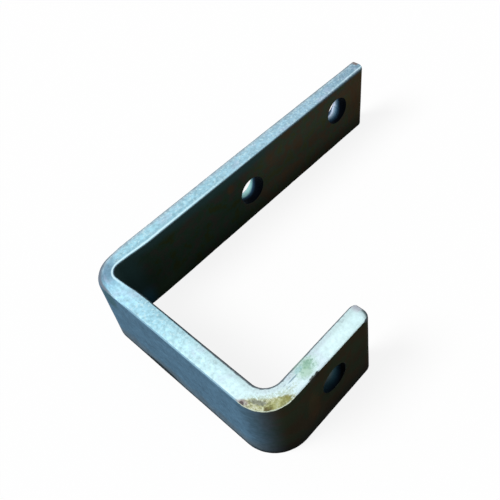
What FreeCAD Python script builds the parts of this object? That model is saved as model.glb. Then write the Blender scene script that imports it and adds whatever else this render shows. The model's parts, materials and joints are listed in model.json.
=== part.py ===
"""Clamp folded from one flat steel bar: a long leg, a back and a short return leg.

The bar stands on its long narrow edge. X runs along both legs towards their free
ends, Y from the short leg to the long leg, and Z across the width of the bar.
The origin is at the bottom, in the middle of the outline.
"""
import FreeCAD
import Part
import math
import os
from FreeCAD import Vector

# Bar stock, in millimetres
bar_width = 25.0
bar_thickness = 6.0

# Outside sizes of the folded bar, along its upper edge
back_height = 72.5
long_leg = 123.3
short_leg = 40.1

# The shear left both free ends out of square: each is shorter at the lower edge
long_end_slant = 2.6
short_end_slant = 0.5

# Radii of the two bends
long_bend_outer = 8.5
long_bend_inner = 3.2
short_bend_outer = 11.3
short_bend_inner = 5.0

# The tight bend at the long leg thinned the bar on its inner side
thinning = 0.8
thinning_along_back = 20.0
thinning_along_leg = 12.0
thinning_blend = 60.0

# Corners of the free ends, rounded over the whole width of the bar
long_end_outer_round = 0.8
long_end_inner_round = 3.0
short_end_outer_round = 3.0
short_end_inner_round = 0.8

# Rolled edge along the bar
edge_round = 0.6

# Bolt holes: distance from the back's outer face, height above the lower edge, diameter
long_leg_holes = [(61.0, 11.8, 10.0), (106.2, 15.4, 10.0)]
short_leg_holes = [(23.8, 14.4, 9.0)]

# Worn flat on the upper outer edge of the bend at the short leg
worn_flat_chord = 15.0
worn_flat_depth = 1.5

# Bevel hammered on the upper edge of the short leg's end
end_bevel_length = 1.9
end_bevel_depth = 1.0

# Places worked out from the sizes
back_outer = -long_leg / 2
back_inner = back_outer + bar_thickness
long_outer = back_height / 2
long_inner = long_outer - bar_thickness
short_outer = -back_height / 2
short_inner = short_outer + bar_thickness
long_end = back_outer + long_leg
short_end = back_outer + short_leg
spare = 5.0


def rounded_outline(corners):
    """Closed wire at z = 0 through (x, y, radius) corners, where a radius of 0 stays sharp."""
    points = [Vector(x, y, 0) for x, y, radius in corners]
    starts = []
    finishes = []
    edges = []
    for i, (x, y, radius) in enumerate(corners):
        corner = points[i]
        backward = (points[i - 1] - corner).normalize()
        forward = (points[(i + 1) % len(points)] - corner).normalize()
        half_angle = backward.getAngle(forward) / 2
        reach = radius / math.tan(half_angle)
        starts.append(corner + backward * reach)
        finishes.append(corner + forward * reach)
        if radius > 0:
            to_centre = (backward + forward).normalize()
            crown = corner + to_centre * (radius / math.sin(half_angle) - radius)
            edges.append(Part.Arc(starts[i], crown, finishes[i]).toShape())
    for i in range(len(corners)):
        edges.append(Part.LineSegment(finishes[i - 1], starts[i]).toShape())
    return Part.Wire(Part.__sortEdges__(edges))


def folded_bar():
    """The bar's outline on its narrow edge, drawn up to the bar's width."""
    corners = [
        (long_end, long_outer, 0),
        (back_outer, long_outer, long_bend_outer),
        (back_outer, short_outer, short_bend_outer),
        (short_end, short_outer, 0),
        (short_end, short_inner, 0),
        (back_inner, short_inner, short_bend_inner),
        (back_inner, long_inner - thinning_along_back, thinning_blend),
        (back_inner - thinning, long_inner + thinning, long_bend_inner),
        (back_inner + thinning_along_leg, long_inner, thinning_blend),
        (long_end, long_inner, 0),
    ]
    return Part.Face(rounded_outline(corners)).extrude(Vector(0, 0, bar_width))


def end_wedge(end_x, slant, low_y):
    """What the shear takes off a square end: a wedge, widest at the lower edge."""
    profile = Part.makePolygon([
        Vector(end_x, low_y - spare, bar_width),
        Vector(end_x - slant, low_y - spare, 0),
        Vector(end_x, low_y - spare, 0),
        Vector(end_x, low_y - spare, bar_width),
    ])
    return Part.Face(profile).extrude(Vector(0, bar_thickness + 2 * spare, 0))


def round_end_corner(shape, end_x, face_y, radius):
    """Rounds the edge where a leg's broad face at face_y meets its sheared end."""
    def is_corner(edge):
        middle = edge.CenterOfMass
        spans_width = edge.BoundBox.ZLength > bar_width - 0.1
        return spans_width and abs(middle.y - face_y) < 0.1 and abs(middle.x - end_x) < long_end_slant
    return shape.makeFillet(radius, [edge for edge in shape.Edges if is_corner(edge)])


def round_long_edges(shape):
    """Rolls over every edge that lies in the bar's two narrow faces."""
    def is_long_edge(edge):
        box = edge.BoundBox
        at_bottom = abs(box.ZMin) < 0.01
        at_top = abs(box.ZMax - bar_width) < 0.01
        return box.ZLength < 0.01 and (at_bottom or at_top)
    return shape.makeFillet(edge_round, [edge for edge in shape.Edges if is_long_edge(edge)])


def bolt_holes(holes, outer_y, inner_y):
    """Cylinders through a leg, one for each hole, along Y."""
    low_y = min(outer_y, inner_y) - spare
    depth = bar_thickness + 2 * spare
    return [
        Part.makeCylinder(diameter / 2, depth, Vector(back_outer + x, low_y, height), Vector(0, 1, 0))
        for x, height, diameter in holes
    ]


def worn_flat():
    """Block whose lower face is the worn flat, a chord across the bend sinking outwards."""
    diagonal = Vector(-1, -1, 0).normalize()
    centre = Vector(back_outer + short_bend_outer, short_outer + short_bend_outer, bar_width)
    chord_distance = math.sqrt(short_bend_outer**2 - (worn_flat_chord / 2)**2)
    slope = math.atan2(worn_flat_depth, short_bend_outer - chord_distance)
    block = Part.makeBox(2 * spare, 4 * spare, spare, Vector(0, -2 * spare, 0))
    block.rotate(Vector(0, 0, 0), Vector(0, 1, 0), math.degrees(slope))
    block.rotate(Vector(0, 0, 0), Vector(0, 0, 1), math.degrees(math.atan2(diagonal.y, diagonal.x)))
    block.translate(centre + diagonal * chord_distance)
    return block


def end_bevel():
    """Block whose lower face is the hammered bevel on the short leg's end."""
    slope = math.atan2(end_bevel_depth, end_bevel_length)
    block = Part.makeBox(2 * spare, bar_thickness + 2 * spare, spare)
    block.rotate(Vector(0, 0, 0), Vector(0, 1, 0), math.degrees(slope))
    block.translate(Vector(short_end - end_bevel_length, short_outer - spare, bar_width))
    return block


def clamp_strip():
    strip = folded_bar()
    strip = strip.cut(end_wedge(long_end, long_end_slant, long_inner))
    strip = strip.cut(end_wedge(short_end, short_end_slant, short_outer))
    strip = round_end_corner(strip, long_end, long_outer, long_end_outer_round)
    strip = round_end_corner(strip, long_end, long_inner, long_end_inner_round)
    strip = round_end_corner(strip, short_end, short_outer, short_end_outer_round)
    strip = round_end_corner(strip, short_end, short_inner, short_end_inner_round)
    strip = round_long_edges(strip)
    for hole in bolt_holes(long_leg_holes, long_outer, long_inner):
        strip = strip.cut(hole)
    for hole in bolt_holes(short_leg_holes, short_outer, short_inner):
        strip = strip.cut(hole)
    strip = strip.cut(worn_flat())
    strip = strip.cut(end_bevel())
    return strip.Solids[0]


os.makedirs("parts", exist_ok=True)
strip = clamp_strip()
strip.exportStep("parts/clamp_strip.step")
box = strip.BoundBox
print("clamp_strip", "valid", strip.isValid(), "volume", round(strip.Volume), "mm3")
print("x", round(box.XMin, 2), round(box.XMax, 2), "y", round(box.YMin, 2), round(box.YMax, 2),
      "z", round(box.ZMin, 2), round(box.ZMax, 2))
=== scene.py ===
# %% [markdown]
# # Folded steel bar clamp
# One flat steel bar, drilled three times and folded twice. It stands on its long narrow
# edge: X runs along both legs towards their free ends, Y from the short leg to the long
# leg, Z across the width of the bar. The workshop cuts a blank, drills it and folds it,
# and this lesson does the same with a mesh: a flat blank first, then the folds, then the
# marks that use and weather left on it.

# %% Load the measured solid
import json
import math

import bmesh
import bpy
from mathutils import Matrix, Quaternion, Vector, noise


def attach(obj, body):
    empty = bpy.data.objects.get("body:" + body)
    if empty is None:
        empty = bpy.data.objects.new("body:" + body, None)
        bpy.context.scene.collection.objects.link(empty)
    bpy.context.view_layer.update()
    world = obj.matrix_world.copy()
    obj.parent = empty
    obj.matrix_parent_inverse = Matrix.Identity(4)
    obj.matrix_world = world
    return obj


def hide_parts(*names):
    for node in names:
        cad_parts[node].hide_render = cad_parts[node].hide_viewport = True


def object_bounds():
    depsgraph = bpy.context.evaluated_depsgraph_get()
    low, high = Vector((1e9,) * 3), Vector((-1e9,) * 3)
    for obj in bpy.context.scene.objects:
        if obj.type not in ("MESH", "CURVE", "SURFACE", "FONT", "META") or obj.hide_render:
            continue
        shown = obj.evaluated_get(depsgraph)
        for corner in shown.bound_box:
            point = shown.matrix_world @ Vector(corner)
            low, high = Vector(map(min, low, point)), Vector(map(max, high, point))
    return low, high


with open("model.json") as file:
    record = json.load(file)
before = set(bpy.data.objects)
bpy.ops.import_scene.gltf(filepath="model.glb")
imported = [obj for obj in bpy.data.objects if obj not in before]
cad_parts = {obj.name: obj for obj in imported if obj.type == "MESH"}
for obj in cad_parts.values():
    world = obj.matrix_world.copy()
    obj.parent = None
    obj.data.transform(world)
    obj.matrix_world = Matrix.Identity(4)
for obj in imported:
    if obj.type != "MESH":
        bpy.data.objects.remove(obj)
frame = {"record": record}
solid_low, solid_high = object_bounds()
metre = 1000.0
mm = 1 / metre
print("solid, mm:", [round((high - low) * metre, 2) for low, high in zip(solid_low, solid_high)])

# %% [markdown]
# The camera stands where the photo was taken from, about 23 cm from the clamp, above its
# near corner. The photo is a cut from a larger picture, so the middle of the lens isn't
# the middle of the photo: that is what the small shift is for. Place, turn and lens were
# worked out from the bar's straight edges, because trying them by eye takes long.

# %% Camera
image_side = 500
camera_place = Vector((-101.5, -100.57, 178.85)) * mm
camera_azimuth = -41.43
camera_elevation = 44.96
camera_roll = -8.81
lens_pixels = 697.2
lens_middle = (284.2, 180.2)


def look_direction(azimuth, elevation):
    """Unit vector of the camera's gaze: azimuth 0 looks along +Y, 90 along -X."""
    turn = math.radians(azimuth)
    tilt = math.radians(elevation)
    level_part = math.cos(tilt)
    return Vector((-math.sin(turn) * level_part, math.cos(turn) * level_part, -math.sin(tilt)))


lens = bpy.data.cameras.new("lens")
lens.sensor_width = 36
lens.lens = lens_pixels / image_side * lens.sensor_width
lens.shift_x = 0.5 - lens_middle[0] / image_side
lens.shift_y = lens_middle[1] / image_side - 0.5
lens.clip_start = 0.01
lens.clip_end = 20

camera = bpy.data.objects.new("camera", lens)
camera.location = camera_place
camera.rotation_mode = "QUATERNION"
level = look_direction(camera_azimuth, camera_elevation).to_track_quat("-Z", "Y")
camera.rotation_quaternion = level @ Quaternion((0, 0, 1), math.radians(camera_roll))
bpy.context.scene.collection.objects.link(camera)
bpy.context.scene.camera = camera
print("lens, mm:", round(lens.lens, 2), "shift:", round(lens.shift_x, 4), round(lens.shift_y, 4))

# %% [markdown]
# The photo was taken in soft daylight that came from behind the back of the clamp and
# from the left. An area lamp would do for the clamp, but it leaves a pool of light on
# the floor. A sun lamp with a wide disc gives soft light at one level everywhere, and the
# world fills the shadows.

# %% Daylight
sun_direction = Vector((-0.56, 0.30, 0.78))
sun_strength = 3.0
sun_disc = 30
sky_level = 0.25

sun = bpy.data.lights.new("daylight", "SUN")
sun.energy = sun_strength
sun.angle = math.radians(sun_disc)
sun_object = bpy.data.objects.new("daylight", sun)
sun_object.rotation_euler = sun_direction.to_track_quat("Z", "Y").to_euler()
bpy.context.scene.collection.objects.link(sun_object)
bpy.context.scene.view_settings.view_transform = "Standard"
print("sun:", sun_strength, "with a disc of", sun_disc, "degrees")

# %% [markdown]
# The background of the photo is plain white. Camera, mirror and glass rays see a white
# world and a nearly white floor, while the light that the floor throws back on the clamp
# stays that of a grey studio floor. The floor keeps a faint shadow under the clamp. More
# light would whiten the floor too, but it would bleach the clamp.


# %% Helpers for shader trees
def add_node(tree, kind, **settings):
    """A new node in the tree, with its properties set by name."""
    node = tree.nodes.new(kind)
    for name, value in settings.items():
        setattr(node, name, value)
    return node


def feed(tree, socket, value):
    """Links the value to a socket, or sets it there where it is a plain number or colour."""
    if isinstance(value, bpy.types.NodeSocket):
        tree.links.new(value, socket)
    else:
        socket.default_value = value


def maths(tree, operation, first, second):
    """A Math node on sockets or plain numbers. Returns its output."""
    node = add_node(tree, "ShaderNodeMath", operation=operation)
    feed(tree, node.inputs[0], first)
    feed(tree, node.inputs[1], second)
    return node.outputs[0]


def seen_directly(tree):
    """1 for rays from the camera, or that left a mirror or glass, and 0 for the rest."""
    path = add_node(tree, "ShaderNodeLightPath")
    direct = maths(tree, "MAXIMUM", path.outputs["Is Camera Ray"], path.outputs["Is Glossy Ray"])
    return maths(tree, "MAXIMUM", direct, path.outputs["Is Transmission Ray"])


# %% White world
world = bpy.data.worlds.new("studio")
bpy.context.scene.world = world
world.use_nodes = True
sky = world.node_tree.nodes["Background"]
sky_strength = maths(world.node_tree, "MAXIMUM", seen_directly(world.node_tree), sky_level)
world.node_tree.links.new(sky_strength, sky.inputs["Strength"])
sky.inputs["Color"].default_value = (1, 1, 1, 1)
print("world: white for the camera,", sky_level, "for the clamp")

# %% Paint of the floor
floor_grey = 0.3
floor_glow_share = 0.6
floor_glow_level = 1.46

floor_paint = bpy.data.materials.new("studio_floor")
floor_paint.use_nodes = True
floor_tree = floor_paint.node_tree
floor_tree.nodes.clear()
floor_shade = add_node(floor_tree, "ShaderNodeBsdfDiffuse")
floor_shade.inputs["Color"].default_value = (floor_grey, floor_grey, floor_grey, 1)
floor_glow = add_node(floor_tree, "ShaderNodeEmission")
floor_mix = add_node(floor_tree, "ShaderNodeMixShader")
floor_output = add_node(floor_tree, "ShaderNodeOutputMaterial")
floor_share = maths(floor_tree, "MULTIPLY", seen_directly(floor_tree), floor_glow_share)
floor_glow.inputs["Strength"].default_value = floor_glow_level
floor_tree.links.new(floor_share, floor_mix.inputs[0])
floor_tree.links.new(floor_shade.outputs[0], floor_mix.inputs[1])
floor_tree.links.new(floor_glow.outputs[0], floor_mix.inputs[2])
floor_tree.links.new(floor_mix.outputs[0], floor_output.inputs["Surface"])
print("floor paint:", len(floor_tree.nodes), "nodes")

# %% Floor
floor_side = 6.0

floor_shape = bmesh.new()
bmesh.ops.create_grid(floor_shape, x_segments=1, y_segments=1, size=floor_side / 2)
floor_mesh = bpy.data.meshes.new("floor")
floor_shape.to_mesh(floor_mesh)
floor_shape.free()
floor_mesh.materials.append(floor_paint)
floor = bpy.data.objects.new("floor", floor_mesh)
bpy.context.scene.collection.objects.link(floor)
print("floor:", floor_side, "m wide")

# %% [markdown]
# ## The blank
# The bar's sizes come from the measured solid: its box gives the width, the height over
# the back and the long leg, and its bolt holes are in its record. The short leg, the radii
# of the folds and the thinning of the tight one are written here, as in the solid. The
# blank is the bar as the shear leaves it. Its length is that of the folded middle line.
# A clamp modelled folded would take fewer steps, but no stain would follow its bends.

# %% Sizes of the bar, in millimetres
mounts = {mount["name"]: mount for mount in frame["record"]["mounts"]}
hole_names = ("long_leg_hole_near", "long_leg_hole_far", "short_leg_hole")

low = solid_low * metre
high = solid_high * metre
width = high.z - low.z
thickness = mounts["long_leg_hole_near"]["dims"]["length_mm"]
back_outer, long_outer, short_outer = low.x, high.y, low.y
back_inner = back_outer + thickness
long_inner = long_outer - thickness
short_inner = short_outer + thickness
long_end = high.x
short_leg = 40.1
short_end = back_outer + short_leg
print("bar, mm:", round(width, 2), "by", thickness)
print("legs, mm:", round(long_end - back_outer, 2), "and", short_leg)

# %% Middles of the two folds
tight_outer, tight_inner = 8.5, 3.2
wide_outer, wide_inner = 11.3, 5.0
tight_centre_out = Vector((back_outer + tight_outer, long_outer - tight_outer))
tight_centre_in = Vector((back_inner + tight_inner, long_inner - tight_inner))
wide_centre_out = Vector((back_outer + wide_outer, short_outer + wide_outer))
wide_centre_in = Vector((back_inner + wide_inner, short_inner + wide_inner))
for name, middle in (("tight", tight_centre_out), ("wide", wide_centre_out)):
    print("middle of the", name, "fold, mm:", [round(c, 2) for c in middle])

# %% Stretches of the blank, from the long leg's free end
quarter = math.pi / 2
long_run = long_end - tight_centre_out.x
tight_run = quarter * (tight_outer + tight_inner) / 2
back_run = tight_centre_out.y - wide_centre_out.y
wide_run = quarter * (wide_outer + wide_inner) / 2
short_run = short_end - wide_centre_out.x

tight_start = long_run
back_start = tight_start + tight_run
wide_start = back_start + back_run
short_start = wide_start + wide_run
blank_length = short_start + short_run
print("blank, mm:", round(blank_length, 1), "by", round(width, 1), "by", thickness)

# %% [markdown]
# A grid of small squares is the blank's broad face. Where a hole goes, a square patch is
# taken out, and the border of the gap is drawn in until it is a circle, so that the
# meshing runs in rings round the hole. Cutting with a boolean would be shorter, but it
# leaves slivers that show as soon as the surface is made uneven.

# %% Places of the holes
def place_on_blank(name):
    """Middle of a hole on the blank, along and across it, and the hole's radius."""
    spot = Vector(mounts[name]["pos_m"]) * metre
    on_long_leg = spot.y > 0
    run = long_end - spot.x if on_long_leg else short_start + spot.x - wide_centre_out.x
    return Vector((run, spot.z)), mounts[name]["dims"]["r_mm"]


holes = [place_on_blank(name) for name in hole_names]
for name, (middle, radius) in zip(hole_names, holes):
    print(name, "at", [round(c, 1) for c in middle], "on the blank, radius", radius)

# %% Broad face
squares_across = 40
cell = width / squares_across

blank = bmesh.new()
squares_along = round(blank_length / cell)
bmesh.ops.create_grid(blank, x_segments=squares_along, y_segments=squares_across, size=0.5)
bmesh.ops.scale(blank, vec=(blank_length, width, 1), verts=blank.verts)
bmesh.ops.translate(blank, vec=(blank_length / 2, width / 2, 0), verts=blank.verts)
print("broad face:", squares_along, "by", squares_across, "squares")

# %% Open the holes
patch_margin = 1.4
ring_cuts = 2
along, across, deep = 0, 1, 2


def open_hole(middle, radius):
    """Takes a square patch out of the grid and draws its border in to a circle."""
    reach = radius + patch_margin
    inside = [
        face for face in blank.faces
        if max(abs(face.calc_center_median()[i] - middle[i]) for i in (along, across)) < reach
    ]
    kept = {edge for edge in blank.edges if edge.is_boundary}
    bmesh.ops.delete(blank, geom=inside, context="FACES")
    gap = [edge for edge in blank.edges if edge.is_boundary and edge not in kept]
    drawn_in = bmesh.ops.extrude_edge_only(blank, edges=gap)["geom"]
    rim = {item for item in drawn_in if isinstance(item, bmesh.types.BMVert)}
    for vert in rim:
        vert.co.xy = middle + (vert.co.xy - middle).normalized() * radius
    spokes = [edge for vert in rim for edge in vert.link_edges if edge.other_vert(vert) not in rim]
    bmesh.ops.subdivide_edges(blank, edges=spokes, cuts=ring_cuts, use_grid_fill=True)
    return len(rim)


for name, (middle, radius) in zip(hole_names, holes):
    print(name, "opened with", open_hole(middle, radius), "points")

# %% [markdown]
# The face is then drawn up to the bar's thickness, and the walls that this makes are cut
# into squares like the rest. The long edges of rolled bar are never sharp, and a drill
# leaves a small rim, so both are bevelled, with more steps where the eye sees them best.
# One Bevel modifier would give both the same width, and here each kind has its own.

# %% Thickness
wall_cuts = 9

drawn = bmesh.ops.extrude_face_region(blank, geom=blank.faces[:], use_keep_orig=True)
raised = [item for item in drawn["geom"] if isinstance(item, bmesh.types.BMVert)]
bmesh.ops.translate(blank, vec=(0, 0, thickness), verts=raised)
uprights = [
    edge for edge in blank.edges
    if abs(edge.verts[0].co.z - edge.verts[1].co.z) > thickness / 2
]
bmesh.ops.subdivide_edges(blank, edges=uprights, cuts=wall_cuts, use_grid_fill=True)
bmesh.ops.recalc_face_normals(blank, faces=blank.faces)
print("thick blank, mm3:", round(blank.calc_volume()))

# %% Borders and rims
tiny = 1e-3


def on_faces(point, i, size):
    """True where the point lies on one of the blank's two faces across axis i."""
    return point[i] < tiny or point[i] > size - tiny


def outer_faces(point):
    """How many of the blank's three pairs of faces the point lies on."""
    sizes = (blank_length, width, thickness)
    return sum(on_faces(point, i, size) for i, size in enumerate(sizes))


def is_border(edge):
    """True for the twelve edges of the blank."""
    middle = (edge.verts[0].co + edge.verts[1].co) / 2
    return outer_faces(middle) == 2


def is_rim(edge):
    """True for the two ends of each hole."""
    return all(
        on_faces(vert.co, deep, thickness)
        and any(abs((vert.co.xy - middle).length - radius) < tiny for middle, radius in holes)
        for vert in edge.verts
    )


for kind, is_wanted in (("border", is_border), ("rim", is_rim)):
    print(kind, "edges to round:", sum(is_wanted(edge) for edge in blank.edges))

# %% Round them
rolled = 0.5
rolled_steps = 5
rim_round = 0.15
rim_steps = 2

borders = [edge for edge in blank.edges if is_border(edge)]
bmesh.ops.bevel(blank, geom=borders, offset=rolled, offset_type="OFFSET", segments=rolled_steps,
                profile=0.5, affect="EDGES", material=-1)
rims = [edge for edge in blank.edges if is_rim(edge)]
bmesh.ops.bevel(blank, geom=rims, offset=rim_round, offset_type="OFFSET", segments=rim_steps,
                profile=0.5, affect="EDGES", material=-1)
print("blank:", len(blank.verts), "points,", len(blank.faces), "faces")

# %% [markdown]
# The finish of the bar follows the bar through its folds, so each point keeps where it
# lay on the flat blank. It also keeps how far it is from the narrow face, 0, to the broad
# face, 1: the two have different finishes, and the rolled edge is where they meet. The
# points in a bore keep whether they are on the side next to the leg's free end, which is
# the dark side. A painted mask or an unwrapped map could hold this too, but layers on the
# points cost nothing and go with the mesh when it is exported.

# %% Layers on the points
place_layer = blank.verts.layers.float_vector.new("blank_place")
skin_layer = blank.verts.layers.float.new("skin")
bore_layer = blank.verts.layers.float.new("bore")
bore_shade_layer = blank.verts.layers.float.new("bore_shade")
worn_layer = blank.verts.layers.float.new("worn")
print("layers:", len(blank.verts.layers.float) + len(blank.verts.layers.float_vector))


# %% What each point remembers
def nearest_hole(point):
    """How far a point of the blank lies from the nearest hole's wall, and that hole's middle."""
    return min(((point.xy - middle).length - radius, middle) for middle, radius in holes)


for vert in blank.verts:
    point = vert.co
    to_hole, hole_middle = nearest_hole(point)
    to_face = min(point.z, thickness - point.z)
    near_hole = to_hole < 2 * rim_round
    radius = rim_round if near_hole else rolled
    to_wall = to_hole if near_hole else min(point.y, width - point.y)
    if not near_hole:
        to_face = min(to_face, point.x, blank_length - point.x)
    vert[place_layer] = point
    vert[skin_layer] = math.atan2(max(radius - to_face, 0), max(radius - to_wall, 0)) / quarter
    vert[bore_layer] = 1.0 if to_hole < rim_round / 2 else 0.0
    towards_end = (point.x - hole_middle.x) * (-1 if point.x < tight_start else 1)
    vert[bore_shade_layer] = max(0.0, towards_end / (point.xy - hole_middle).length)
print("points in the bores:", sum(vert[bore_layer] > 0 for vert in blank.verts))

# %% [markdown]
# The edges aren't equally worn everywhere: the outer edge of the tight fold was dragged
# over the die, and the free end of the long leg is rounder than the rest. Each rolled
# edge is stretched from the size that the bevel gave it to its size at that place, which
# is smoother than bevelling stretch by stretch.


# %% Radius of the rolled edges
lower_radius = 0.4
outer_radius, inner_radius = 0.6, 0.55
dragged_extra, worn_extra, end_extra = 1.3, 0.4, 0.5
worn_reach, end_reach = 50.0, 60.0


def bump(value, middle, reach):
    """1 at the middle, falling smoothly to 0 at the reach on either side."""
    share = max(0.0, 1 - abs(value - middle) / reach)
    return share * share * (3 - 2 * share)


def edge_radius(run, is_outer, is_top):
    """Radius of the rolled edge at a place along the blank."""
    if not is_top:
        return lower_radius
    at_free_end = end_extra * max(0.0, 1 - run / end_reach)
    if is_outer:
        dragged = bump(run, tight_start + tight_run / 2, tight_run * 1.1)
        return outer_radius + dragged_extra * dragged + at_free_end
    return inner_radius + worn_extra * bump(run, wide_start, worn_reach) + at_free_end


places = (0, tight_start, wide_start)
print("upper outer edge, mm:", [round(edge_radius(run, True, True), 2) for run in places])

# %% Uneven edges
width_reach = 3.0


def stretch(distance, radius, reach):
    """Moves a distance from the edge so that the bevel becomes a rounding of that radius."""
    if distance <= rolled:
        return distance * radius / rolled
    if distance < reach:
        return radius + (distance - rolled) * (reach - radius) / (reach - rolled)
    return distance


def stretched(value, size, radius, reach):
    """The same, measured from whichever of the two ends of a side is nearer."""
    if value < size / 2:
        return stretch(value, radius, reach)
    return size - stretch(size - value, radius, reach)


for vert in blank.verts:
    run, height, depth = vert.co
    is_top = height > width / 2
    outer_share = depth / thickness
    outer = edge_radius(run, True, is_top)
    inner = edge_radius(run, False, is_top)
    radius = inner + (outer - inner) * outer_share
    vert.co.y = stretched(height, width, radius, width_reach)
    vert.co.z = stretched(depth, thickness, outer if outer_share > 0.5 else inner, thickness / 2)
print("uneven blank, mm3:", round(blank.calc_volume()))

# %% [markdown]
# The shear cut both ends a little out of square and rounded their corners, more on the
# side that it entered. The points near an end move back along the bar by what is missing
# there. Cutting the ends off with a plane would leave a sharp edge to bevel again. A
# hammer has knocked a small bevel on the upper edge of the short leg's end.

# %% Rounded corners of an end
long_end_rounds = (3.0, 0.8)
short_end_rounds = (0.8, 3.0)


def rounded_back(depth, inner_round, outer_round):
    """How far an end with rounded corners lies behind its own tip, at a depth in the bar."""
    for distance, radius in ((depth, inner_round), (thickness - depth, outer_round)):
        if distance < radius:
            return radius - math.sqrt(radius**2 - (radius - distance) ** 2)
    return 0.0


print("2 mm deep in the long end:", round(rounded_back(2.0, *long_end_rounds), 2), "mm back")

# %% Sheared ends
long_end_slant, short_end_slant = 2.6, 0.5
slant_reach = 10.0
bevel_length, bevel_depth = 1.9, 1.0

for vert in blank.verts:
    run, height, depth = vert.co
    at_long_end = run < blank_length / 2
    to_end = run if at_long_end else blank_length - run
    if to_end > slant_reach:
        continue
    slant = long_end_slant if at_long_end else short_end_slant
    rounds = long_end_rounds if at_long_end else short_end_rounds
    round_reach = max(rounds) * 1.5
    back = slant * (1 - height / width) * (1 - to_end / slant_reach)
    back += rounded_back(depth, *rounds) * max(0.0, 1 - to_end / round_reach)
    vert.co.x += back if at_long_end else -back
    if not at_long_end and to_end < bevel_length:
        near_top = max(0.0, 1 - (width - height) / width_reach)
        vert.co.y -= bevel_depth * (1 - to_end / bevel_length) * near_top
print("sheared blank, mm3:", round(blank.calc_volume()))

# %% [markdown]
# ## The folds
# A press folds the blank over two dies. Along the straight stretches a point only moves
# with its stretch. In a fold it turns about the fold's middle, on a radius between the
# inner and the outer one. A Simple Deform modifier bends with a single middle for both
# faces, but here each face has its own, so the places are worked out point by point. The
# tight fold drew the bar out, so it is thinner there, most of all at its upper edge.


# %% Points of a fold
def between(inner, outer, share):
    """The point at that share of the way from the inner to the outer face."""
    return inner + (outer - inner) * share


def round_fold(share, turn, centre_in, centre_out, radius_in, radius_out):
    """A point in a fold, at an angle from the +X axis."""
    ray = Vector((math.cos(turn), math.sin(turn)))
    return between(centre_in + ray * radius_in, centre_out + ray * radius_out, share)


def thinned_centre(thin):
    """Middle of the tight fold's inner face, where the bar is drawn thin by so much."""
    return tight_centre_in + Vector((-thin, thin))


crown = round_fold(1, 1.5 * quarter, tight_centre_in, tight_centre_out, tight_inner, tight_outer)
print("crown of the tight fold, mm:", [round(c, 2) for c in crown])

# %% Points of the straight stretches
thinning = 0.8
thinning_reach = 12.0


def on_long_leg_stretch(run, share, thin):
    """A point of the long leg, sunk in next to the tight fold."""
    sunk = bump(tight_start - run, 0, thinning_reach)
    x = long_end - run
    shift = (thinned_centre(thin).x - tight_centre_out.x) * sunk
    inner = Vector((x + shift, long_inner + thin * sunk))
    return between(inner, Vector((x, long_outer)), share)


def on_back_stretch(run, share, thin):
    """A point of the back, sunk in next to the tight fold."""
    sunk = bump(run - back_start, 0, thinning_reach)
    down = (run - back_start) / back_run
    outer_y = tight_centre_out.y + (wide_centre_out.y - tight_centre_out.y) * down
    inner_top = thinned_centre(thin).y
    inner = Vector((back_inner - thin * sunk, inner_top + (wide_centre_in.y - inner_top) * down))
    return between(inner, Vector((back_outer, outer_y)), share)


def on_short_leg_stretch(run, share):
    """A point of the short leg."""
    along_leg = run - short_start
    settled = min(1.0, along_leg / thinning_reach)
    inner_x = along_leg + wide_centre_in.x + (wide_centre_out.x - wide_centre_in.x) * settled
    outer_x = along_leg + wide_centre_out.x
    return between(Vector((inner_x, short_inner)), Vector((outer_x, short_outer)), share)


back_middle = on_back_stretch(back_start + back_run / 2, 1, 0)
print("middle of the back, mm:", [round(c, 2) for c in back_middle])


# %% Fold the blank
thinned_below = 0.3


def folded(run, share, thin):
    """Where a point goes, seen from above. The share is 0 on the inner face, 1 on the outer."""
    if run < tight_start:
        return on_long_leg_stretch(run, share, thin)
    if run < back_start:
        turn = quarter + quarter * (run - tight_start) / tight_run
        centre_in = thinned_centre(thin)
        return round_fold(share, turn, centre_in, tight_centre_out, tight_inner, tight_outer)
    if run < wide_start:
        return on_back_stretch(run, share, thin)
    if run < short_start:
        turn = math.pi + quarter * (run - wide_start) / wide_run
        return round_fold(share, turn, wide_centre_in, wide_centre_out, wide_inner, wide_outer)
    return on_short_leg_stretch(run, share)


for vert in blank.verts:
    run, height, depth = vert.co
    thin = thinning * between(thinned_below, 1.0, height / width)
    spot = folded(run, depth / thickness, thin)
    vert.co = (spot.x, spot.y, low.z + height)
print("folded, mm3:", round(blank.calc_volume(signed=True)))

# %% [markdown]
# ## Wear
# The clamp has stood on its bend in the wet: the upper edge of the wide fold is worn to a
# slanting flat, and rust has eaten pits into it. The meshing is made finer there first,
# because a pit needs a few squares. Then every point that stands above the flat comes
# down onto it, which keeps the meshing in one piece, where a cut would need a new cap.
# Points of the upright outer face land on one another, so these are merged.

# %% Plane of the worn flat
flat_chord = 15.0
flat_depth = 1.5
corner = Vector((-1, -1)).normalized()
chord_distance = math.sqrt(wide_outer**2 - (flat_chord / 2) ** 2)


def beyond_chord(point):
    """How far a point lies outside the chord across the wide fold. Negative inside it."""
    return (point.xy - wide_centre_out).dot(corner) - chord_distance


def flat_height(point):
    """Height of the slanting flat over or under a point."""
    return high.z - flat_depth * beyond_chord(point) / (wide_outer - chord_distance)


print("chord of the flat, mm from the fold's middle:", round(chord_distance, 2))

# %% Worn flat on the wide fold
pit_cuts = 2
finer_below, finer_inside = 2.5, 1.5
fade_below, fade_inside = 0.6, 0.8
same_spot = 0.02


def limited(share):
    """The share, kept between 0 and 1."""
    return min(1.0, max(0.0, share))


def is_worn(face):
    """True for the faces that the flat takes in, and a strip round them."""
    middle = face.calc_center_median()
    return middle.z > high.z - finer_below and beyond_chord(middle) > -finer_inside


worn_edges = {edge for face in blank.faces if is_worn(face) for edge in face.edges}
bmesh.ops.subdivide_edges(blank, edges=list(worn_edges), cuts=pit_cuts, use_grid_fill=True)

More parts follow.
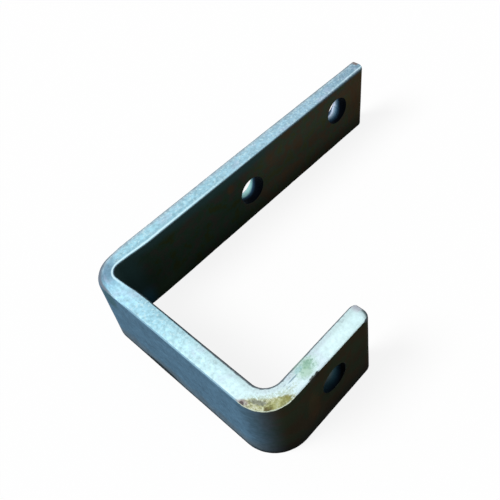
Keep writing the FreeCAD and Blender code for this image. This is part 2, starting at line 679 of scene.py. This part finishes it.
for vert in blank.verts:
    outside = beyond_chord(vert.co)
    if outside > 0:
        vert.co.z = min(vert.co.z, flat_height(vert.co))
    on_flat = limited(1 + (vert.co.z - flat_height(vert.co)) / fade_below)
    vert[worn_layer] = on_flat * limited(outside / fade_inside + 1)
landed = [vert for vert in blank.verts if vert[worn_layer] > 0]
bmesh.ops.remove_doubles(blank, verts=landed, dist=same_spot)
print("points on the flat:", sum(vert[worn_layer] > 0.5 for vert in blank.verts))

# %% [markdown]
# No rolled bar is perfectly even. A slow wave runs over all of it, the rolled edges have
# nicks, and the worn flat has pits: three noises, each with its own size. A Bump node
# would be lighter, but it leaves the outline straight and isn't in the mesh itself.
# The points only move inwards, so the bar stays inside the measured solid's box.

# %% Uneven steel
wave_length, wave_depth = 7.0, 0.035
nick_length, nick_depth, nick_from = 1.3, 0.10, 0.15
pit_length, pit_depth, pit_from = 0.9, 0.22, -0.1
pits_below, pits_inside = 1.6, 0.6

blank.normal_update()
moves = []
for vert in blank.verts:
    wave = noise.noise(vert.co / wave_length) * wave_depth
    on_roll = 4 * vert[skin_layer] * (1 - vert[skin_layer])
    nick = max(0.0, noise.noise(vert.co / nick_length) - nick_from) * nick_depth * on_roll
    in_flat = limited(beyond_chord(vert.co) + pits_inside)
    in_flat *= vert.co.z > high.z - pits_below
    pit = max(0.0, noise.noise(vert.co / pit_length) - pit_from) * pit_depth * in_flat
    moves.append(vert.normal * (wave - wave_depth - nick - pit))
for vert, move in zip(blank.verts, moves):
    vert.co += move
    vert.co.z = max(vert.co.z, low.z)
print("deepest mark, mm:", round(max(move.length for move in moves), 2))

# %% [markdown]
# So far the lesson worked in millimetres. The finished mesh goes to metres, and its
# object stays at the origin, because the places are already in the points.

# %% Put the clamp into the scene
bmesh.ops.scale(blank, vec=(mm, mm, mm), verts=blank.verts)
clamp_mesh = bpy.data.meshes.new("folded_bar")
blank.to_mesh(clamp_mesh)
blank.free()
for polygon in clamp_mesh.polygons:
    polygon.use_smooth = True
clamp = bpy.data.objects.new("folded_bar", clamp_mesh)
bpy.context.scene.collection.objects.link(clamp)
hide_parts("clamp_strip")
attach(clamp, "root")
print("clamp:", len(clamp_mesh.vertices), "points,", len(clamp_mesh.polygons), "faces")

# %% [markdown]
# ## The finish
# Rolled bar comes with a dark skin on its broad faces. The narrow faces are bright: the
# edges were dressed, and a thin coat of zinc took there. Two materials with a sharp seam
# would be simpler, but the two finishes run into each other on the rolled edges, so one
# material does both, and the places kept from the blank say which is where. Colours are
# given as seen on a screen and turned into light levels.


# %% Colours as seen on a screen
def screen_colour(red, green, blue):
    """A colour given in the 0 to 255 steps of a screen, as linear light."""
    shares = [value / 255 for value in (red, green, blue)]
    linear = [s / 12.92 if s < 0.04045 else ((s + 0.055) / 1.055) ** 2.4 for s in shares]
    return (*linear, 1)


print("zinc, as light:", [round(level, 2) for level in screen_colour(190, 226, 234)[:3]])

# %% [markdown]
# Rust, stains and scratches all are spots with ragged borders. One node group makes such
# a spot from its middle and its reach along the three axes of the blank, and noise pushes
# its border in and out. It is built once and placed with new values for every spot.


# %% Helpers for noise and smooth steps
def ease(tree, value, start, end):
    """A smooth step: 0 at the start, 1 at the end, either of which may be the larger."""
    node = add_node(tree, "ShaderNodeMapRange", interpolation_type="SMOOTHSTEP")
    sources = {"Value": value, "From Min": start, "From Max": end, "To Min": 0.0, "To Max": 1.0}
    for name, source in sources.items():
        feed(tree, node.inputs[name], source)
    return node.outputs["Result"]


def grain(tree, place, per_mm, detail=2.0, roughness=0.5):
    """Noise in the millimetres of the blank, around 0.5."""
    node = add_node(tree, "ShaderNodeTexNoise", noise_dimensions="3D")
    node.inputs["Scale"].default_value = per_mm
    node.inputs["Detail"].default_value = detail
    node.inputs["Roughness"].default_value = roughness
    tree.links.new(place, node.inputs["Vector"])
    return node.outputs["Fac"]


def vector_maths(tree, operation, first, second=None):
    """A Vector Math node on sockets. Returns its length or its vector."""
    node = add_node(tree, "ShaderNodeVectorMath", operation=operation)
    tree.links.new(first, node.inputs[0])
    if second is not None:
        tree.links.new(second, node.inputs[1])
    return node.outputs["Value" if operation == "LENGTH" else "Vector"]


# %% Sockets of the ragged spot
patch_group = bpy.data.node_groups.new("ragged_patch", "ShaderNodeTree")
patch_inputs = [
    ("Place", "NodeSocketVector", (0, 0, 0)),
    ("Middle", "NodeSocketVector", (0, 0, 0)),
    ("Reach", "NodeSocketVector", (1, 1, 1)),
    ("Raggedness", "NodeSocketFloat", 1.0),
]
for label, kind, value in patch_inputs:
    socket = patch_group.interface.new_socket(label, in_out="INPUT", socket_type=kind)
    socket.default_value = value
patch_group.interface.new_socket("Mask", in_out="OUTPUT", socket_type="NodeSocketFloat")
print("ragged spot:", [label for label, kind, value in patch_inputs], "to a mask")

# %% Ragged spot
spot_in = add_node(patch_group, "NodeGroupInput").outputs
spot_out = add_node(patch_group, "NodeGroupOutput").inputs
offset = vector_maths(patch_group, "SUBTRACT", spot_in["Place"], spot_in["Middle"])
share_of_reach = vector_maths(patch_group, "DIVIDE", offset, spot_in["Reach"])
distance = vector_maths(patch_group, "LENGTH", share_of_reach)
uneven = maths(patch_group, "SUBTRACT", grain(patch_group, spot_in["Place"], 1.8, 4.0, 0.65), 0.5)
uneven = maths(patch_group, "MULTIPLY", uneven, spot_in["Raggedness"])
mask = ease(patch_group, maths(patch_group, "ADD", distance, uneven), 1.25, 0.6)
patch_group.links.new(mask, spot_out["Mask"])
print("ragged spot:", len(patch_group.nodes), "nodes")

# %% [markdown]
# The material starts from what each point remembers, read with Attribute nodes. Unlike
# object coordinates, these places bend with the bar, so a stain drawn on the blank stays
# on its spot round a fold.

# %% Steel of the bar
steel = bpy.data.materials.new("bar_steel")
steel.use_nodes = True
tree = steel.node_tree
shader = tree.nodes["Principled BSDF"]


def remembered(name, output="Fac"):
    """What each point of the bar keeps under a name."""
    return add_node(tree, "ShaderNodeAttribute", attribute_name=name).outputs[output]


place = remembered("blank_place", "Vector")
skin = remembered("skin")
bore = remembered("bore")
bore_shade = remembered("bore_shade")
worn = remembered("worn")
split = add_node(tree, "ShaderNodeSeparateXYZ")
tree.links.new(place, split.inputs[0])
run, height, depth = split.outputs
print("steel: the mesh keeps", [one.name for one in clamp_mesh.attributes if one.name[0] != "."])

# %% [markdown]
# Nothing on used steel is even. Three noises of different size break up every colour,
# and a few masks say which side of the bar a point is on: the depth runs from the inner
# broad face to the outer one, and the run from the long leg's free end to the other. The
# tight fold lies at 115 to 124 mm of the run, and the wide one at 177 to 189 mm.


# %% Unevenness and sides
def step(value, start, end):
    """A smooth step in the steel's own tree."""
    return ease(tree, value, start, end)


fine = grain(tree, place, 0.85, 3.0, 0.6)
flecks = grain(tree, place, 1.5, 2.0, 0.5)
middling = grain(tree, place, 0.22, 2.0)
inner_side = step(depth, 3.5, 2.5)
outer_side = step(depth, 2.5, 3.5)
on_long_leg = step(run, 123.0, 115.0)
on_short_leg = step(run, 160.0, 188.0)


def tell(what):
    """Prints how many nodes the steel has, now that a finish is done."""
    print(what, "painted,", len(tree.nodes), "nodes so far")


tell("noises and sides")

# %% [markdown]
# The finishes are painted one over the other, as glazes are: each has a colour and a
# mask that says where it lies. A few helpers keep that short. Mix nodes with masks made
# of sums and products do the same as layers in a painting program.


# %% Helpers for masks
def added(first, second):
    """The sum of two sockets or numbers."""
    return maths(tree, "ADD", first, second)


def less(first, second):
    """The first minus the second, as sockets or numbers."""
    return maths(tree, "SUBTRACT", first, second)


def share_of(value, whole):
    """A value divided by the whole, as sockets or numbers."""
    return maths(tree, "DIVIDE", value, whole)


def either(first, second):
    """The larger of two masks."""
    return maths(tree, "MAXIMUM", first, second)


def times(*factors):
    """The product of masks, given as sockets or numbers."""
    product = factors[0]
    for factor in factors[1:]:
        product = maths(tree, "MULTIPLY", product, factor)
    return product


def swing(value, amount, middle=1.0):
    """Turns noise around 0.5 into a level around the middle."""
    return added(times(less(value, 0.5), amount), middle)


# %% Helpers for colours
def mix(factor, first, second):
    """Mixes two colours, given as sockets or values, by a socket or a number."""
    node = add_node(tree, "ShaderNodeMix", data_type="RGBA")
    for name, value in (("Factor", factor), ("A", first), ("B", second)):
        wanted = "VALUE" if name == "Factor" else "RGBA"
        socket = next(one for one in node.inputs if one.name == name and one.type == wanted)
        feed(tree, socket, value)
    return next(one for one in node.outputs if one.type == "RGBA")


def scaled(colour, level):
    """A colour multiplied by a level."""
    node = add_node(tree, "ShaderNodeVectorMath", operation="SCALE")
    tree.links.new(colour, node.inputs[0])
    tree.links.new(level, node.inputs["Scale"])
    return node.outputs["Vector"]


def ramp(value, stops):
    """A colour ramp through (position, screen colour) stops."""
    node = add_node(tree, "ShaderNodeValToRGB")
    tree.links.new(value, node.inputs[0])
    elements = node.color_ramp.elements
    while len(elements) < len(stops):
        elements.new(0.5)
    for element, (position, shade) in zip(elements, stops):
        element.position = position
        element.color = screen_colour(*shade)
    return node.outputs["Color"]


# %% [markdown]
# The bright edge isn't one colour: the light comes from behind the back, so it is paler
# on the back and the short leg, and bluish in the tight fold. A ramp along the blank
# paints that light into the colour, as the photo shows it, and two noises give the grain
# of the zinc.

# %% Colour of the zinc along the bar, with painted light
bright = ramp(share_of(run, blank_length), [
    (0.00, (124, 156, 175)),
    (0.13, (154, 188, 206)),
    (0.47, (160, 204, 218)),
    (0.515, (160, 205, 220)),
    (0.54, (118, 154, 176)),
    (0.555, (114, 150, 172)),
    (0.57, (146, 192, 212)),
    (0.585, (176, 220, 236)),
    (0.61, (170, 213, 229)),
    (0.66, (164, 209, 223)),
    (0.72, (190, 226, 234)),
    (0.80, (206, 232, 236)),
    (0.84, (216, 236, 240)),
    (0.89, (208, 228, 233)),
    (0.94, (214, 238, 240)),
    (1.00, (202, 228, 231)),
])
tell("zinc")

# %% Bright narrow faces
outer_third = times(step(depth, 4.0, 5.4), on_long_leg)
inner_third = times(step(depth, 2.3, 1.2), step(run, 127.0, 132.0))
bright = mix(outer_third, bright, screen_colour(158, 182, 194))
bright = scaled(bright, swing(inner_third, -0.14, 0.93))
bright = scaled(bright, swing(fine, less(1.1, times(on_short_leg, 0.6))))
clear_of_fold = either(step(run, 120.0, 112.0), step(run, 130.0, 136.0))
pale_flecks = times(step(flecks, 0.54, 0.66), clear_of_fold, 0.5)
bright = mix(pale_flecks, bright, screen_colour(206, 232, 236))
lavender = times(step(middling, 0.52, 0.68), less(1.0, outer_third), 0.2)
bright = mix(lavender, bright, screen_colour(196, 196, 222))
tell("narrow faces")

# %% [markdown]
# A rolled edge catches the light as a thin line, and here that line is a painted highlight.
# On the inner side of the long leg it is bright next to the tight fold and at the free
# end. The outer rolled edge of the long leg is painted as a grey strip with a crease.
# Steel as rough as this hardly glints, so these highlights are painted lighter.

# %% Painted highlights and shade on the rolled edges
# Painted highlight: a light line on the inner rolled edge of the long leg, near its free end and
# the tight fold.
near_free_end = times(step(run, 26.0, 6.0), 0.6)
towards_fold = times(step(run, 55.0, 100.0), step(run, 131.0, 123.0), 0.85)
highlight_level = either(near_free_end, towards_fold)
inner_edge_highlight = times(step(depth, 0.35, 0.6), step(depth, 1.3, 0.9), highlight_level)
bright = mix(inner_edge_highlight, bright, screen_colour(208, 236, 244))
shoulder = times(step(depth, 1.0, 1.5), step(depth, 2.6, 2.0), highlight_level, 0.3)
bright = mix(shoulder, bright, screen_colour(110, 150, 170))
# The outer rolled edge of the long leg is painted as a grey strip with a darker crease.
outer_edge_strip = times(outer_side, step(run, 132.0, 124.0))
bright = mix(times(outer_edge_strip, step(skin, 0.14, 0.24)), bright, screen_colour(106, 117, 129))
crease = times(outer_edge_strip, step(skin, 0.02, 0.08), step(skin, 0.24, 0.16), 0.5)
bright = mix(crease, bright, screen_colour(90, 104, 118))
# Painted shade on the outer rolled edge of the back, between its lit top and its face.
back_edge_shade = times(outer_side, step(run, 128.0, 136.0), step(run, 182.0, 176.0))
bright = mix(times(back_edge_shade, step(skin, 0.0, 0.25), 0.85), bright, screen_colour(112, 146, 166))
tell("rolled edges")

# %% [markdown]
# Zinc doesn't hold on a sheared end. The tip of the long leg has a thin brown cap, and
# that of the short leg is pinkish on the inner side and dark on the outer one.

# %% Tips of the two legs
to_tip = less(blank_length, run)
bright = mix(times(outer_side, step(run, 2.1, 1.2), 0.9), bright, screen_colour(128, 114, 112))
bright = mix(times(inner_side, step(to_tip, 3.4, 1.2), 0.55), bright, screen_colour(196, 188, 204))
bright = mix(times(outer_side, step(to_tip, 1.5, 0.6), 0.9), bright, screen_colour(60, 80, 84))
tell("tips")

# %% [markdown]
# The outer face of the back looks slate-grey, because it faces the light. It is a little
# darker and browner towards the bottom, and painted shade darkens its lowest edge next to
# the floor. At the tight fold it has one teal spot, the first of many spots made with the
# ragged group.


# %% Place a ragged spot
def patch(middle, reach, raggedness):
    """A ragged spot on the bar, by its middle and reach in millimetres on the blank."""
    node = add_node(tree, "ShaderNodeGroup", node_tree=patch_group)
    tree.links.new(place, node.inputs["Place"])
    node.inputs["Middle"].default_value = middle
    node.inputs["Reach"].default_value = reach
    node.inputs["Raggedness"].default_value = raggedness
    return node.outputs["Mask"]


def spotted(under, spots, *limits):
    """Lays spots over a colour, each as (middle, reach, raggedness, level, screen colour)."""
    for middle, reach, raggedness, level, shade in spots:
        mask = times(patch(middle, reach, raggedness), level, *limits)
        under = mix(mask, under, screen_colour(*shade))
    return under


teal_spot = ((126.0, 22.5, 6.0), (3.0, 4.5, 1.5), 1.2, 0.6, (60, 94, 98))
tell("a ragged spot can be")

# %% Slate-grey back
facing_light = step(run, 186.0, 176.0)
low_down = step(added(height, swing(middling, 8.0, 0.0)), 8.0, 1.5)
slate = mix(low_down, screen_colour(84, 118, 142), screen_colour(92, 111, 124))
# Painted shade along the foot of the back, next to the floor.
painted_foot_shade = swing(step(height, 0.4, 2.4), 0.8, 0.6)
slate = scaled(slate, times(swing(middling, 0.6), swing(fine, 1.0), painted_foot_shade))
slate = spotted(slate, [teal_spot])
tell("back")

# %% [markdown]
# The inner faces and the outer face of the short leg keep the mill's dark skin. They face
# away from the light, so their dark colour is partly painted shade. It shimmers from olive
# and brown on the free half of the long leg to deep green near the fold, where it turns
# blue at the bottom. It has a few rust-brown spots, is painted lighter towards the upper
# edge as light from above, and painted darker towards the bottom as shade, darkest at the
# foot of the short leg.

# %% Skin of the inner faces, partly painted shade
tint = added(middling, swing(fine, 0.35, 0.0))
olive_brown = ramp(tint, [
    (0.34, (64, 68, 44)),
    (0.45, (58, 70, 56)),
    (0.52, (66, 64, 52)),
    (0.66, (74, 62, 46)),
])
deep_green = ramp(tint, [
    (0.36, (44, 52, 30)),
    (0.47, (38, 58, 46)),
    (0.64, (52, 52, 46)),
])
dark_inside = mix(step(run, 50.0, 72.0), olive_brown, deep_green)
upper_teal = times(step(height, 20.0, 24.0), step(run, 42.0, 62.0))
teal = either(upper_teal, step(run, 106.0, 112.0))
dark_inside = mix(teal, dark_inside, screen_colour(46, 70, 70))
low_near_fold = times(step(run, 88.0, 104.0), step(height, 8.0, 2.0), 0.9)
dark_inside = mix(low_near_fold, dark_inside, screen_colour(60, 80, 62))
low_in_fold = times(step(run, 106.0, 111.0), step(height, 10.0, 2.0))
dark_inside = mix(low_in_fold, dark_inside, screen_colour(51, 103, 124))
tell("inner faces")

# %% Dark broad faces
dark_outside = mix(step(tint, 0.4, 0.6), screen_colour(40, 46, 32), screen_colour(47, 41, 28))
# Painted shade: the outer face of the short leg darkens towards its foot.
dark_outside = scaled(dark_outside, swing(step(height, 0.5, 5.5), 0.65, 0.68))
dark = mix(outer_side, dark_inside, dark_outside)
tell("dark faces")

# %% Brown spots, and painted light from above
brown = (78, 56, 34)
dark = spotted(dark, [
    ((4.0, 16.0, 0.0), (9.0, 12.0, 1.5), 2.0, 0.5, brown),
    ((71.0, 19.5, 0.0), (1.6, 1.8, 1.5), 1.0, 0.5, brown),
    ((193.5, 12.0, 6.0), (2.4, 6.0, 1.5), 2.0, 0.35, brown),
])
upper_light = swing(step(height, 10.0, 20.0), 0.45, 0.65)
lower_light = swing(step(height, 0.0, 9.0), 0.6, 0.35)
dark = scaled(dark, added(upper_light, lower_light))
broad_skin_and_shade = mix(times(outer_side, facing_light), dark, slate)
tell("brown spots")

# %% [markdown]
# On the outer side the skin ends halfway round the rolled edge. On the inner side it
# wraps over the edge up to the narrow face, and thins out there to grey. Past the tight
# fold this dark edge is also painted shade, where the rolled edge turns away from the
# light. The noise in the border keeps it from looking drawn with a ruler.

# %% Where the skin ends
wrapped = either(inner_side, step(to_tip, 2.5, 1.5))
past_fold = step(run, 122.0, 132.0)
skin_start = less(0.54, times(wrapped, 0.54))
skin_full = less(0.70, times(wrapped, swing(past_fold, 0.4, 0.3)))
covered = step(added(skin, swing(fine, 0.4, 0.0)), skin_start, skin_full)
thinned_skin_and_shade = mix(step(run, 150.0, 172.0), screen_colour(70, 88, 96), screen_colour(108, 119, 126))
# The dark skin, and painted shade, on the inner rolled edges.
broad_skin_and_shade = mix(times(wrapped, step(skin, 1.0, 0.6)), broad_skin_and_shade, thinned_skin_and_shade)
colour = mix(covered, bright, broad_skin_and_shade)
tell("border of the skin")

# %% [markdown]
# A black line is painted on the lower edge of the back, next to the tight fold, as the
# shadow where it meets the floor. It is one long spot of the ragged group, over skin and
# zinc alike.

# %% Painted shadow under the back
contact_shadow_line = ((142.0, 0.9, 6.0), (8.5, 2.5, 2.5), 0.8, 0.95, (30, 38, 42))
colour = spotted(colour, [contact_shadow_line])
tell("dirt")

# %% [markdown]
# A drilled bore has no skin. Its colour is painted light and shade: a painted reflection
# of the sky near its far end, and painted shade, nearly black, at the near one, on its
# side towards the free end and on top. The far rim is a dark line.
# Real mirroring would need the surroundings of the photo, so a ramp through the depth of
# the bar stands in.

# %% Bores of the long leg
in_shade = times(bore_shade, bore_shade, 1.6)
far_hole = step(run, 60.0, 20.0)
seen_depth = less(added(depth, far_hole), in_shade)
long_leg_bore = ramp(share_of(seen_depth, thickness), [
    (0.38, (8, 14, 22)),
    (0.56, (36, 64, 86)),
    (0.70, (88, 120, 140)),
    (0.82, (140, 160, 176)),
    (0.91, (186, 202, 222)),
    (1.00, (52, 74, 98)),
])
# Painted highlight low down in the bore, and painted shade above the hole's middle.
low_down_inside = times(step(height, 12.5, 8.5), step(run, 40.0, 55.0), 0.7)
gleam = times(low_down_inside, step(seen_depth, 3.3, 4.4), step(seen_depth, 5.9, 5.5))
long_leg_bore = mix(gleam, long_leg_bore, screen_colour(140, 192, 186))
above_middle = less(height, swing(far_hole, 3.6, 13.6))
long_leg_bore = scaled(long_leg_bore, less(1.0, times(step(above_middle, 0.5, 4.5), 0.7)))
tell("bores of the long leg")

# %% [markdown]
# The bore of the short leg is seen from outside, so its ramp starts at the outer face. It
# faces away from the light and stays dark.

# %% Bore of the short leg
seen_from_outside = less(less(thickness, depth), in_shade)
short_leg_bore = ramp(share_of(seen_from_outside, thickness), [
    (0.00, (8, 10, 12)),
    (0.18, (20, 38, 50)),
    (0.38, (38, 66, 76)),
    (0.55, (66, 78, 80)),
])
colour = mix(bore, colour, mix(on_short_leg, long_leg_bore, short_leg_bore))
tell("bore of the short leg")

# %% [markdown]
# The worn flat is rusted: a ramp through fine noise runs from dark brown pits over olive
# to pale yellow-green. Larger stains give its left part a purple tinge and its right one
# a stronger yellow, and a halo of specks lies inside of it on the sound zinc. Its border
# is the mesh's own mask, so that the rust ends where the flat does.

# %% Rust on the worn flat
on_flat = times(worn, step(skin, 0.62, 0.4))
rust = times(on_flat, patch((183.0, 25.0, 5.0), (7.2, 3.0, 1.8), 1.6))
rust_noise = grain(tree, place, 1.9, 4.0, 0.68)
rusty = ramp(rust_noise, [
    (0.30, (92, 84, 56)),
    (0.41, (140, 140, 92)),
    (0.50, (184, 186, 136)),
    (0.62, (214, 218, 186)),
    (0.74, (232, 236, 216)),
])
halo = times(patch((184.6, 25.0, 3.8), (6.2, 3.0, 1.8), 1.8), step(rust_noise, 0.62, 0.44), 0.55)
colour = mix(halo, colour, screen_colour(158, 172, 140))
colour = mix(times(rust, 0.9), colour, rusty)
tell("rust")

# %% Stains in the rust
colour = spotted(colour, [
    ((177.4, 25.0, 5.2), (2.0, 3.0, 0.8), 1.6, 0.75, (158, 142, 152)),
    ((178.2, 25.0, 5.6), (0.5, 3.0, 0.4), 1.0, 0.8, (74, 62, 64)),
    ((181.3, 25.0, 4.2), (1.9, 3.0, 0.6), 2.4, 0.7, (120, 126, 122)),
    ((183.3, 25.0, 5.5), (0.9, 3.0, 0.6), 1.4, 0.85, (84, 70, 32)),
    ((187.4, 25.0, 4.7), (0.6, 3.0, 1.0), 1.4, 0.75, (118, 108, 52)),
    ((185.6, 25.0, 5.0), (2.6, 3.0, 1.2), 1.4, 0.4, (164, 170, 96)),
], on_flat)
worn_rim = times(step(worn, 0.5, 0.9), step(skin, 0.4, 0.6), 0.85)
colour = mix(worn_rim, colour, screen_colour(206, 216, 196))
tell("stains")

# %% [markdown]
# On the short leg's edge, just past the fold, there is a green smudge, thin at its
# border and thick in two places, with darker dots. Next to it the edge has two brown
# notches and some scratches that run along the bar.

# %% Green smudge
smudge = patch((195.6, 25.0, 2.5), (3.8, 2.0, 2.9), 1.8)
colour = mix(times(smudge, 0.4), colour, screen_colour(170, 208, 186))
colour = spotted(colour, [
    ((196.5, 25.0, 2.2), (1.7, 2.0, 1.3), 1.8, 0.7, (138, 180, 156)),
    ((194.7, 25.0, 3.5), (1.6, 2.0, 1.5), 1.8, 0.45, (158, 194, 166)),
    ((194.0, 25.0, 1.5), (1.4, 2.0, 0.8), 1.8, 0.5, (150, 196, 202)),
])
dots = times(smudge, step(flecks, 0.50, 0.62), 0.5)
colour = mix(dots, colour, screen_colour(126, 166, 148))
tell("smudge")

# %% Notches and scratches on the short leg
scratch = (110, 140, 160)
colour = spotted(colour, [
    ((196.1, 25.0, 6.0), (0.9, 2.0, 0.5), 1.4, 0.95, (46, 44, 38)),
    ((194.4, 25.0, 6.0), (1.2, 2.0, 0.5), 1.4, 0.85, (60, 58, 50)),
    ((191.3, 25.0, 2.1), (1.7, 2.0, 0.24), 0.4, 0.75, scratch),
    ((189.3, 25.0, 3.0), (0.9, 2.0, 0.16), 0.4, 0.35, scratch),
    ((188.6, 25.0, 1.7), (0.7, 2.0, 0.16), 0.4, 0.35, scratch),
])
tell("notches and scratches")

# %% [markdown]
# The zinc is half metal, half dull oxide, and neither the skin nor the rust shines. All
# of it is rough, as in the photo, where no reflection has a sharp edge.

# %% Surface of the steel
metal = times(less(1.0, covered), less(1.0, rust), 0.5)
tree.links.new(colour, shader.inputs["Base Color"])
tree.links.new(metal, shader.inputs["Metallic"])
shader.inputs["Roughness"].default_value = 0.72
shader.inputs["Specular IOR Level"].default_value = 0.015
clamp_mesh.materials.append(steel)
tell("steel")
